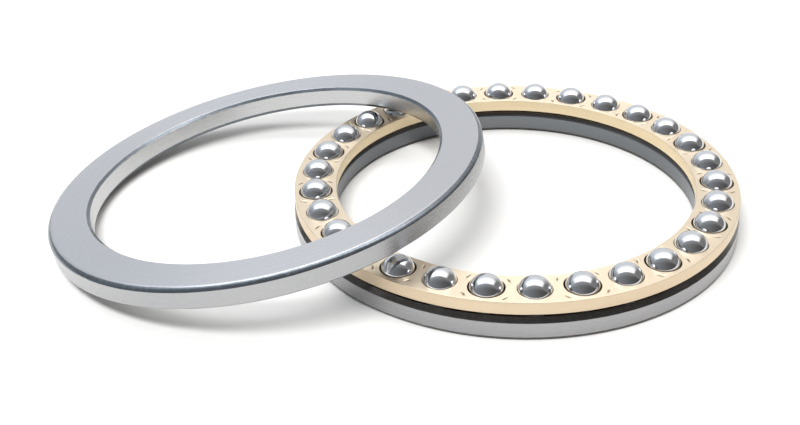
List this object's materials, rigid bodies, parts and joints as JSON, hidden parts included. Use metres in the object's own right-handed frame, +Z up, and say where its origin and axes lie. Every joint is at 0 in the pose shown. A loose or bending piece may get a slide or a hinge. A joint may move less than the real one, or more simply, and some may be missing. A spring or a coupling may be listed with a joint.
{
  "type": "single-direction thrust ball bearing",
  "caption": "Separable thrust ball bearing: flat housing washer with a brass cage of steel balls on it, and a loose shaft washer leaning on the ball set, raceway down.",
  "frame": {"origin": "floor level at the centre of the whole footprint, leaning shaft washer included; the bearing axis stands at x 54.7 mm, y 5.5 mm", "axes": "+Z up along the bearing axis, from the housing washer towards the ball set; +X from the leaning shaft washer towards the ball set"},
  "size_m": [0.3094, 0.2109, 0.0424],
  "materials": {
    "housing_steel": "ground outside, dark heat-treated raceway side and chamfers",
    "shaft_steel": "fine circular grinding, dark heat-treated chamfers",
    "cage_brass": "machined, matt",
    "ball_steel": "polished"
  },
  "bodies": {
    "housing_washer": {"housing_washer": "housing_steel"},
    "shaft_washer": {"shaft_washer": "shaft_steel"},
    "cage": {"cage": "cage_brass"},
    "ball_01": {"ball_01": "ball_steel"},
    "ball_02": {"ball_02": "ball_steel"},
    "ball_03": {"ball_03": "ball_steel"},
    "ball_04": {"ball_04": "ball_steel"},
    "ball_05": {"ball_05": "ball_steel"},
    "ball_06": {"ball_06": "ball_steel"},
    "ball_07": {"ball_07": "ball_steel"},
    "ball_08": {"ball_08": "ball_steel"},
    "ball_09": {"ball_09": "ball_steel"},
    "ball_10": {"ball_10": "ball_steel"},
    "ball_11": {"ball_11": "ball_steel"},
    "ball_12": {"ball_12": "ball_steel"},
    "ball_13": {"ball_13": "ball_steel"},
    "ball_14": {"ball_14": "ball_steel"},
    "ball_15": {"ball_15": "ball_steel"},
    "ball_16": {"ball_16": "ball_steel"},
    "ball_17": {"ball_17": "ball_steel"},
    "ball_18": {"ball_18": "ball_steel"},
    "ball_19": {"ball_19": "ball_steel"},
    "ball_20": {"ball_20": "ball_steel"},
    "ball_21": {"ball_21": "ball_steel"},
    "ball_22": {"ball_22": "ball_steel"},
    "ball_23": {"ball_23": "ball_steel"},
    "ball_24": {"ball_24": "ball_steel"},
    "ball_25": {"ball_25": "ball_steel"},
    "ball_26": {"ball_26": "ball_steel"},
    "ball_27": {"ball_27": "ball_steel"},
    "ball_28": {"ball_28": "ball_steel"},
    "ball_29": {"ball_29": "ball_steel"},
    "ball_30": {"ball_30": "ball_steel"}
  },
  "joints": [
    {"name": "shaft_washer_spin", "type": "hinge", "parent": "housing_washer", "child": "shaft_washer", "pos_m": [-0.05738, -0.00644, 0.02645], "axis": [-0.1661, 0.008, 0.9861], "continuous": true},
    {"name": "cage_spin", "type": "hinge", "parent": "housing_washer", "child": "cage", "pos_m": [0.0547, 0.0055, 0.0155], "axis": [0, 0, 1], "continuous": true},
    {"name": "ball_01_roll", "type": "hinge", "parent": "cage", "child": "ball_01", "pos_m": [0.02696, 0.09112, 0.0155], "axis": [-0.3082, 0.9513, 0], "continuous": true},
    {"name": "ball_02_roll", "type": "hinge", "parent": "cage", "child": "ball_02", "pos_m": [0.04537, 0.09502, 0.0155], "axis": [-0.1037, 0.9946, 0], "continuous": true},
    {"name": "ball_03_roll", "type": "hinge", "parent": "cage", "child": "ball_03", "pos_m": [0.06419, 0.095, 0.0155], "axis": [0.1054, 0.9944, 0], "continuous": true},
    {"name": "ball_04_roll", "type": "hinge", "parent": "cage", "child": "ball_04", "pos_m": [0.08259, 0.09107, 0.0155], "axis": [0.3098, 0.9508, 0], "continuous": true},
    {"name": "ball_05_roll", "type": "hinge", "parent": "cage", "child": "ball_05", "pos_m": [0.09977, 0.0834, 0.0155], "axis": [0.5008, 0.8656, 0], "continuous": true},
    {"name": "ball_06_roll", "type": "hinge", "parent": "cage", "child": "ball_06", "pos_m": [0.11498, 0.07233, 0.0155], "axis": [0.6698, 0.7426, 0], "continuous": true},
    {"name": "ball_07_roll", "type": "hinge", "parent": "cage", "child": "ball_07", "pos_m": [0.12756, 0.05834, 0.0155], "axis": [0.8095, 0.5871, 0], "continuous": true},
    {"name": "ball_08_roll", "type": "hinge", "parent": "cage", "child": "ball_08", "pos_m": [0.13695, 0.04204, 0.0155], "axis": [0.9139, 0.4059, 0], "continuous": true},
    {"name": "ball_09_roll", "type": "hinge", "parent": "cage", "child": "ball_09", "pos_m": [0.14275, 0.02414, 0.0155], "axis": [0.9783, 0.2071, 0], "continuous": true},
    {"name": "ball_10_roll", "type": "hinge", "parent": "cage", "child": "ball_10", "pos_m": [0.1447, 0.00542, 0.0155], "axis": [1, -0.0009, 0], "continuous": true},
    {"name": "ball_11_roll", "type": "hinge", "parent": "cage", "child": "ball_11", "pos_m": [0.14272, -0.01329, 0.0155], "axis": [0.978, -0.2088, 0], "continuous": true},
    {"name": "ball_12_roll", "type": "hinge", "parent": "cage", "child": "ball_12", "pos_m": [0.13689, -0.03118, 0.0155], "axis": [0.9132, -0.4075, 0], "continuous": true},
    {"name": "ball_13_roll", "type": "hinge", "parent": "cage", "child": "ball_13", "pos_m": [0.12746, -0.04746, 0.0155], "axis": [0.8085, -0.5885, 0], "continuous": true},
    {"name": "ball_14_roll", "type": "hinge", "parent": "cage", "child": "ball_14", "pos_m": [0.11486, -0.06144, 0.0155], "axis": [0.6685, -0.7437, 0], "continuous": true},
    {"name": "ball_15_roll", "type": "hinge", "parent": "cage", "child": "ball_15", "pos_m": [0.09963, -0.07248, 0.0155], "axis": [0.4992, -0.8665, 0], "continuous": true},
    {"name": "ball_16_roll", "type": "hinge", "parent": "cage", "child": "ball_16", "pos_m": [0.08244, -0.08012, 0.0155], "axis": [0.3082, -0.9513, 0], "continuous": true},
    {"name": "ball_17_roll", "type": "hinge", "parent": "cage", "child": "ball_17", "pos_m": [0.06403, -0.08402, 0.0155], "axis": [0.1037, -0.9946, 0], "continuous": true},
    {"name": "ball_18_roll", "type": "hinge", "parent": "cage", "child": "ball_18", "pos_m": [0.04521, -0.084, 0.0155], "axis": [-0.1054, -0.9944, 0], "continuous": true},
    {"name": "ball_19_roll", "type": "hinge", "parent": "cage", "child": "ball_19", "pos_m": [0.02681, -0.08007, 0.0155], "axis": [-0.3098, -0.9508, 0], "continuous": true},
    {"name": "ball_20_roll", "type": "hinge", "parent": "cage", "child": "ball_20", "pos_m": [0.00963, -0.0724, 0.0155], "axis": [-0.5008, -0.8656, 0], "continuous": true},
    {"name": "ball_21_roll", "type": "hinge", "parent": "cage", "child": "ball_21", "pos_m": [-0.00558, -0.06133, 0.0155], "axis": [-0.6698, -0.7426, 0], "continuous": true},
    {"name": "ball_22_roll", "type": "hinge", "parent": "cage", "child": "ball_22", "pos_m": [-0.01816, -0.04734, 0.0155], "axis": [-0.8095, -0.5871, 0], "continuous": true},
    {"name": "ball_23_roll", "type": "hinge", "parent": "cage", "child": "ball_23", "pos_m": [-0.02755, -0.03104, 0.0155], "axis": [-0.9139, -0.4059, 0], "continuous": true},
    {"name": "ball_24_roll", "type": "hinge", "parent": "cage", "child": "ball_24", "pos_m": [-0.03335, -0.01314, 0.0155], "axis": [-0.9783, -0.2071, 0], "continuous": true},
    {"name": "ball_25_roll", "type": "hinge", "parent": "cage", "child": "ball_25", "pos_m": [-0.0353, 0.00558, 0.0155], "axis": [-1, 0.0009, 0], "continuous": true},
    {"name": "ball_26_roll", "type": "hinge", "parent": "cage", "child": "ball_26", "pos_m": [-0.03332, 0.02429, 0.0155], "axis": [-0.978, 0.2088, 0], "continuous": true},
    {"name": "ball_27_roll", "type": "hinge", "parent": "cage", "child": "ball_27", "pos_m": [-0.02749, 0.04218, 0.0155], "axis": [-0.9132, 0.4075, 0], "continuous": true},
    {"name": "ball_28_roll", "type": "hinge", "parent": "cage", "child": "ball_28", "pos_m": [-0.01807, 0.05846, 0.0155], "axis": [-0.8085, 0.5885, 0], "continuous": true},
    {"name": "ball_29_roll", "type": "hinge", "parent": "cage", "child": "ball_29", "pos_m": [-0.00546, 0.07244, 0.0155], "axis": [-0.6685, 0.7437, 0], "continuous": true},
    {"name": "ball_30_roll", "type": "hinge", "parent": "cage", "child": "ball_30", "pos_m": [0.00977, 0.08348, 0.0155], "axis": [-0.4992, 0.8665, 0], "continuous": true}
  ],
  "couplings": [
    {"joint": "cage_spin", "follows": "shaft_washer_spin", "ratio": 0.5},
    {"joint": "ball_01_roll", "follows": "shaft_washer_spin", "ratio": -6.299},
    {"joint": "ball_02_roll", "follows": "shaft_washer_spin", "ratio": -6.299},
    {"joint": "ball_03_roll", "follows": "shaft_washer_spin", "ratio": -6.299},
    {"joint": "ball_04_roll", "follows": "shaft_washer_spin", "ratio": -6.299},
    {"joint": "ball_05_roll", "follows": "shaft_washer_spin", "ratio": -6.299},
    {"joint": "ball_06_roll", "follows": "shaft_washer_spin", "ratio": -6.299},
    {"joint": "ball_07_roll", "follows": "shaft_washer_spin", "ratio": -6.299},
    {"joint": "ball_08_roll", "follows": "shaft_washer_spin", "ratio": -6.299},
    {"joint": "ball_09_roll", "follows": "shaft_washer_spin", "ratio": -6.299},
    {"joint": "ball_10_roll", "follows": "shaft_washer_spin", "ratio": -6.299},
    {"joint": "ball_11_roll", "follows": "shaft_washer_spin", "ratio": -6.299},
    {"joint": "ball_12_roll", "follows": "shaft_washer_spin", "ratio": -6.299},
    {"joint": "ball_13_roll", "follows": "shaft_washer_spin", "ratio": -6.299},
    {"joint": "ball_14_roll", "follows": "shaft_washer_spin", "ratio": -6.299},
    {"joint": "ball_15_roll", "follows": "shaft_washer_spin", "ratio": -6.299},
    {"joint": "ball_16_roll", "follows": "shaft_washer_spin", "ratio": -6.299},
    {"joint": "ball_17_roll", "follows": "shaft_washer_spin", "ratio": -6.299},
    {"joint": "ball_18_roll", "follows": "shaft_washer_spin", "ratio": -6.299},
    {"joint": "ball_19_roll", "follows": "shaft_washer_spin", "ratio": -6.299},
    {"joint": "ball_20_roll", "follows": "shaft_washer_spin", "ratio": -6.299},
    {"joint": "ball_21_roll", "follows": "shaft_washer_spin", "ratio": -6.299},
    {"joint": "ball_22_roll", "follows": "shaft_washer_spin", "ratio": -6.299},
    {"joint": "ball_23_roll", "follows": "shaft_washer_spin", "ratio": -6.299},
    {"joint": "ball_24_roll", "follows": "shaft_washer_spin", "ratio": -6.299},
    {"joint": "ball_25_roll", "follows": "shaft_washer_spin", "ratio": -6.299},
    {"joint": "ball_26_roll", "follows": "shaft_washer_spin", "ratio": -6.299},
    {"joint": "ball_27_roll", "follows": "shaft_washer_spin", "ratio": -6.299},
    {"joint": "ball_28_roll", "follows": "shaft_washer_spin", "ratio": -6.299},
    {"joint": "ball_29_roll", "follows": "shaft_washer_spin", "ratio": -6.299},
    {"joint": "ball_30_roll", "follows": "shaft_washer_spin", "ratio": -6.299}
  ]
}
